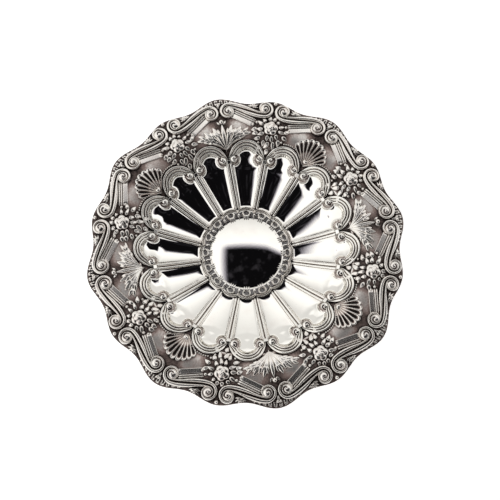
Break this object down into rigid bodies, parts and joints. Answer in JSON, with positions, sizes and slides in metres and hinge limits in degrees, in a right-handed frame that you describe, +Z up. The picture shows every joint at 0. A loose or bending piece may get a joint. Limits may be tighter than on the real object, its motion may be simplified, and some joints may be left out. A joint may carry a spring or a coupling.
{
  "type": "offering plate",
  "caption": "Round silver dish with a domed boss, hollow flutes under arches and a waved border of scrolls, shells, leaves and roses.",
  "frame": {"origin": "on the table under the middle of the dish", "axes": "+Z up out of the bowl; +X and +Y each run through a leaf lobe"},
  "size_m": [0.305, 0.3051, 0.0368],
  "materials": {
    "polished_silver": "mirror polished silver with a dark oxide left in the ground of the border",
    "chased_silver": "chased silver, bright on its high places and dark in its grooves",
    "plain_silver": "plain polished silver"
  },
  "bodies": {
    "root": {"dish_body": "polished_silver", "edge_wire": "plain_silver", "foot_ring": "plain_silver", "centre_boss": "polished_silver", "boss_collar": "chased_silver", "flute_ribs": "chased_silver", "flute_arch_01": "chased_silver", "flute_arch_02": "chased_silver", "flute_arch_03": "chased_silver", "flute_arch_04": "chased_silver", "flute_arch_05": "chased_silver", "flute_arch_06": "chased_silver", "flute_arch_07": "chased_silver", "flute_arch_08": "chased_silver", "flute_arch_09": "chased_silver", "flute_arch_10": "chased_silver", "flute_arch_11": "chased_silver", "flute_arch_12": "chased_silver", "flute_arch_13": "chased_silver", "flute_arch_14": "chased_silver", "flute_arch_15": "chased_silver", "flute_arch_16": "chased_silver", "rim_scroll_01": "chased_silver", "rim_scroll_02": "chased_silver", "rim_scroll_03": "chased_silver", "rim_scroll_04": "chased_silver", "rim_scroll_05": "chased_silver", "rim_scroll_06": "chased_silver", "rim_scroll_07": "chased_silver", "rim_scroll_08": "chased_silver", "rim_scroll_09": "chased_silver", "rim_scroll_10": "chased_silver", "rim_scroll_11": "chased_silver", "rim_scroll_12": "chased_silver", "rim_scroll_13": "chased_silver", "rim_scroll_14": "chased_silver", "rim_scroll_15": "chased_silver", "rim_scroll_16": "chased_silver", "rim_straps": "chased_silver", "rosette_1": "chased_silver", "rosette_2": "chased_silver", "rosette_3": "chased_silver", "rosette_4": "chased_silver", "rosette_5": "chased_silver", "rosette_6": "chased_silver", "rosette_7": "chased_silver", "rosette_8": "chased_silver", "rosette_leaves": "chased_silver", "acanthus_1": "chased_silver", "acanthus_2": "chased_silver", "acanthus_3": "chased_silver", "acanthus_4": "chased_silver", "shell_1": "chased_silver", "shell_2": "chased_silver", "shell_3": "chased_silver", "shell_4": "chased_silver", "rim_fleurons": "chased_silver", "rim_beads": "chased_silver"}
  },
  "joints": []
}
